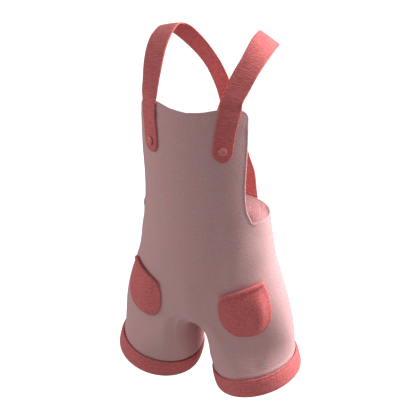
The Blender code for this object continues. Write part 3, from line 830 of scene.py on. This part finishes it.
def strap(end, side):
    points, out = narrowed(*strap_points(side), side)
    patch = (points[::-1], out[::-1])
    lengths = np.linalg.norm(np.diff(points[:, STRAP_COLUMNS // 2], axis=0), axis=1)
    along = np.append(0, np.cumsum(lengths))[::-1]
    across = np.linspace(-1, 1, STRAP_COLUMNS + 1) * STRAP_HALF
    grain = np.stack(np.broadcast_arrays(across[None, :], along[:, None]), -1)
    if side < 0:
        patch = mirrored(patch)
        grain = grain[:, ::-1]
    return shell("strap_band_" + end, [patch], STRAP_CLOTH, STRAP_EDGE, grains=[grain])


def pocket(end, side):
    grid, out = pocket_points(side)
    down, across = (np.linspace(0, 1, count) for count in grid.shape[:2])
    if side < 0:
        across = across[::-1]
    lift = sum(
        row.lift * np.exp(-(((across - row.place) / row.width) ** 2)) for row in BULGES if row.side == side
    )
    window = smooth(np.minimum(down, 1 - down) / BULGE_MARGIN)[:, None]
    window = window * smooth(np.minimum(across, 1 - across) / BULGE_MARGIN)
    grid = grid + out * (window * lift)[..., None]
    return shell("pocket_bag_" + end, [(grid, out)], CLOTH, POCKET_EDGE)


def pocket_roll(end, side):
    return rolled_tube("pocket_roll_" + end, roll_rings(side), False)


def button(end, side):
    """Domed button with a raised lip, on its strap tip."""
    x = spline(BUTTON_Z, [row.z for row in TAB], [row.x for row in TAB])
    x = x - side * STRAP_HALF * TAB_SQUEEZE
    z = np.array(BUTTON_Z)
    around = around_at(x, BUTTON_Z)
    flip = np.array([side, 1, 1])
    seat = lifted(trunk, around, z, 2 * GAP + STRAP_CLOTH) * flip
    facing = outward(trunk, around, z, -1) * flip
    basis = np.array(Vector(facing).to_track_quat("Z", "Y").to_matrix())
    turn = np.linspace(0, 2 * math.pi, BUTTON_SIDES, endpoint=False)
    at = np.arange(len(BUTTON_PROFILE))
    fine = np.linspace(0, at[-1], 6 * at[-1] + 1)
    profile = spline(fine, at, np.array(BUTTON_PROFILE))
    profile[0, 0] = profile[-1, 0] = BUTTON_CENTRE
    rings = []
    for radius, height in profile:
        local = np.stack([
            radius * BUTTON_RADIUS * np.cos(turn),
            radius * BUTTON_RADIUS * np.sin(turn),
            np.full(BUTTON_SIDES, height * BUTTON_HEIGHT * BUTTON_FLATNESS),
        ], -1)
        rings.append(seat + local @ basis.T)
    return rolled_tube("button_dome_" + end, rings, False)


def node_link(tree, kind, x=0, **inputs):
    """New shader node with its inputs given as values or as output sockets."""
    node = tree.nodes.new(kind)
    for name, value in inputs.items():
        socket = node.inputs[name.replace("_", " ")]
        if isinstance(value, bpy.types.NodeSocket):
            tree.links.new(value, socket)
        else:
            socket.default_value = value
    return node


def stretched(tree, source, scale):
    node = tree.nodes.new("ShaderNodeMapping")
    node.inputs["Scale"].default_value = scale
    tree.links.new(source, node.inputs["Vector"])
    return node.outputs["Vector"]


def noise(tree, vector, detail=3.0, roughness=0.55, distortion=0.0):
    node = node_link(tree, "ShaderNodeTexNoise", Vector=vector, Scale=1.0, Detail=detail,
                     Roughness=roughness, Distortion=distortion)
    return node.outputs["Fac"]


def spread(tree, value, low, high):
    """Value remapped so that low gives 0 and high gives 1."""
    node = tree.nodes.new("ShaderNodeMapRange")
    node.interpolation_type = "SMOOTHSTEP"
    tree.links.new(value, node.inputs["Value"])
    node.inputs["From Min"].default_value = low
    node.inputs["From Max"].default_value = high
    return node.outputs["Result"]


def blend_colour(tree, share, first, second, kind="MIX"):
    node = tree.nodes.new("ShaderNodeMix")
    node.data_type = "RGBA"
    node.blend_type = kind
    for place, value in ((0, share), (6, first), (7, second)):
        socket = node.inputs[place]
        if isinstance(value, bpy.types.NodeSocket):
            tree.links.new(value, socket)
        else:
            socket.default_value = value
    return node.outputs[2]


def bump(tree, height, distance, strength, below=None):
    node = tree.nodes.new("ShaderNodeBump")
    node.inputs["Distance"].default_value = distance
    node.inputs["Strength"].default_value = strength
    tree.links.new(height, node.inputs["Height"])
    if below is not None:
        tree.links.new(below, node.inputs["Normal"])
    return node.outputs["Normal"]


def new_material(name, roughness, sheen, sheen_tint):
    material = bpy.data.materials.new(name)
    material.use_nodes = True
    tree = material.node_tree
    shader = tree.nodes["Principled BSDF"]
    shader.inputs["Roughness"].default_value = roughness
    shader.inputs["Sheen Weight"].default_value = sheen
    shader.inputs["Sheen Roughness"].default_value = SHEEN_ROUGHNESS
    shader.inputs["Sheen Tint"].default_value = sheen_tint
    shader.inputs["Specular IOR Level"].default_value = CLOTH_SPECULAR
    return material, tree, shader


def object_place(tree):
    return tree.nodes.new("ShaderNodeTexCoord").outputs["Object"]


def level_rows(tree, place):
    """Even level rows of stitches, slightly wavy."""
    node = node_link(tree, "ShaderNodeTexWave", Vector=place, Scale=ROW_SCALE, Distortion=ROW_WAVER,
                     Detail=1.0, Detail_Scale=0.6)
    node.bands_direction = "Z"
    return node.outputs["Fac"]


def body_cloth():
    """Fine heathered cloth: pink with grey-green threads, in level rows."""
    material, tree, shader = new_material("heathered_cloth", 0.95, 0.25, (1.0, 0.85, 0.85, 1.0))
    place = object_place(tree)
    thread = noise(tree, stretched(tree, place, (620, 620, 760)), 2.0, 0.6)
    row = level_rows(tree, place)
    fleck = spread(tree, thread, 0.50, 0.62)
    cloth = blend_colour(tree, fleck, PINK, GREY_THREAD)
    cloth = blend_colour(tree, row, cloth, blend_colour(tree, 1.0, cloth, ROW_SHADE, "MULTIPLY"))
    tree.links.new(cloth, shader.inputs["Base Color"])
    normal = bump(tree, row, 0.0005, 0.35)
    normal = bump(tree, thread, 0.0006, 0.7, normal)
    tree.links.new(normal, shader.inputs["Normal"])
    return material


def trim_cloth(name, place_of, scale, crinkle_scale, crinkle):
    """Coral crepe: a fine speckle over small crinkles, with painted shade darkening the valleys of the
    crinkles.
    """
    material, tree, shader = new_material(name, 0.85, 0.15, (1.0, 0.7, 0.7, 1.0))
    place = place_of(tree)
    speck = noise(tree, stretched(tree, place, scale), 2.0, 0.6)
    crinkle_and_shade = noise(tree, stretched(tree, place, crinkle_scale), 3.0, 0.55, 0.4)
    # Painted shade: the same noise that bumps the crinkles colours their low valleys darker
    cloth = blend_colour(tree, spread(tree, crinkle_and_shade, 0.35, 0.62), CORAL_CRINKLE_SHADE, CORAL)
    cloth = blend_colour(tree, spread(tree, speck, 0.52, 0.72), cloth, CORAL_LIGHT)
    tree.links.new(cloth, shader.inputs["Base Color"])
    normal = bump(tree, crinkle_and_shade, 0.0011, crinkle)
    normal = bump(tree, speck, 0.0005, 0.5, normal)
    tree.links.new(normal, shader.inputs["Normal"])
    return material


def strap_place(tree):
    node = tree.nodes.new("ShaderNodeUVMap")
    node.uv_map = "grain"
    return node.outputs["UV"]


def button_plastic():
    """Coral plastic, a little lighter than the strap, with faint clouding."""
    material, tree, shader = new_material("button_plastic", 0.42, 0.0, (1.0, 1.0, 1.0, 1.0))
    shader.inputs["Specular IOR Level"].default_value = 0.45
    cloud = noise(tree, stretched(tree, object_place(tree), (260, 260, 260)), 2.0, 0.5)
    colour = blend_colour(tree, spread(tree, cloud, 0.3, 0.7), BUTTON_CORAL, CORAL_LIGHT)
    tree.links.new(colour, shader.inputs["Base Color"])
    tree.links.new(bump(tree, cloud, 0.0002, 0.3), shader.inputs["Normal"])
    return material


def dress(piece, nodes, material):
    """Gives a piece its material, its body and the nodes that it stands for."""
    piece.data.materials.append(material)
    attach(piece, "root")
    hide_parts(*nodes)
    return piece


pink = body_cloth()
coral = trim_cloth("coral_crepe", object_place, (1000, 1000, 1000), (330, 330, 420), 0.5)
coral_strap = trim_cloth("coral_strap_crepe", strap_place, (1000, 1000, 1000), (110, 620, 1), 0.75)
plastic = button_plastic()

front = dress(front_panel(), ["front"], pink)
back = dress(back_panel(), ["back"], pink)
for end, side in (("left", 1), ("right", -1)):
    band = dress(strap(end, side), ["strap_" + end], coral_strap)
    roll = dress(cuff(end, side), ["cuff_" + end], coral)
    bag = dress(pocket(end, side), ["pocket_" + end], coral)
    hem = dress(pocket_roll(end, side), ["pocket_hem_" + end], coral)
    dome = dress(button(end, side), ["button_" + end], plastic)


def stage_material(name, colour, strength):
    material = bpy.data.materials.new(name)
    material.use_nodes = True
    shader = material.node_tree.nodes["Principled BSDF"]
    shader.inputs["Base Color"].default_value = colour
    shader.inputs["Roughness"].default_value = 1.0
    shader.inputs["Emission Color"].default_value = colour
    shader.inputs["Emission Strength"].default_value = strength
    return material


def add_stage():
    """Pale round room that closes the view on all sides."""
    rise = np.radians(np.linspace(-90, 90, STAGE_RINGS))[1:-1]
    turn = np.linspace(0, 2 * math.pi, STAGE_SIDES, endpoint=False)
    rings = []
    for angle in rise:
        ring = np.stack([np.cos(turn), np.sin(turn), np.full(STAGE_SIDES, math.tan(angle))], -1)
        rings.append(ring * math.cos(angle) * STAGE_RADIUS)
    room = rolled_tube("backdrop", rings[::-1], False)
    room.data.materials.append(stage_material("backdrop_paper", WHITE, 1.0))
    room.visible_diffuse = False
    room.visible_glossy = False
    room.visible_shadow = False


def look_at(thing, target):
    away = thing.location - target
    thing.rotation_euler = away.to_track_quat("Z", "Y").to_euler()


def add_light(name, azimuth, elevation, distance, size, power, colour):
    """Soft square light aimed at the garment; azimuth 0 is in front, positive to the wearer's left."""
    data = bpy.data.lights.new(name, "AREA")
    data.size = size
    data.energy = power
    data.color = colour
    light = bpy.data.objects.new(name, data)
    bpy.context.collection.objects.link(light)
    a, e = math.radians(azimuth), math.radians(elevation)
    away = Vector((math.sin(a) * math.cos(e), -math.cos(a) * math.cos(e), math.sin(e)))
    light.location = TARGET + away * distance
    light.visible_camera = False
    look_at(light, TARGET)


def add_inside_light():
    """Small light inside the waist, which brightens the back panel seen through the armhole."""
    data = bpy.data.lights.new("inside", "AREA")
    data.size = INSIDE_SIZE
    data.energy = INSIDE_POWER
    data.spread = INSIDE_SPREAD
    light = bpy.data.objects.new("inside", data)
    bpy.context.collection.objects.link(light)
    light.location = INSIDE_AT
    light.visible_camera = False
    look_at(light, INSIDE_TOWARD)


def add_camera():
    data = bpy.data.cameras.new("photo_camera")
    data.sensor_width = 36.0
    data.lens = data.sensor_width / 2 / math.tan(math.radians(VIEW_ANGLE) / 2)
    camera = bpy.data.objects.new("photo_camera", data)
    bpy.context.collection.objects.link(camera)
    a, e = math.radians(VIEW_AZIMUTH), math.radians(VIEW_ELEVATION)
    away = Vector((math.sin(a) * math.cos(e), -math.cos(a) * math.cos(e), math.sin(e)))
    camera.location = TARGET + away * VIEW_DISTANCE
    look_at(camera, TARGET)
    bpy.context.scene.camera = camera


add_stage()
add_camera()
for row in LIGHTS:
    add_light(*row)
add_inside_light()
world = bpy.data.worlds.new("soft_daylight")
world.use_nodes = True
world.node_tree.nodes["Background"].inputs["Color"].default_value = WORLD_COLOUR
world.node_tree.nodes["Background"].inputs["Strength"].default_value = WORLD_STRENGTH
bpy.context.scene.world = world
bpy.context.scene.view_settings.view_transform = "Standard"
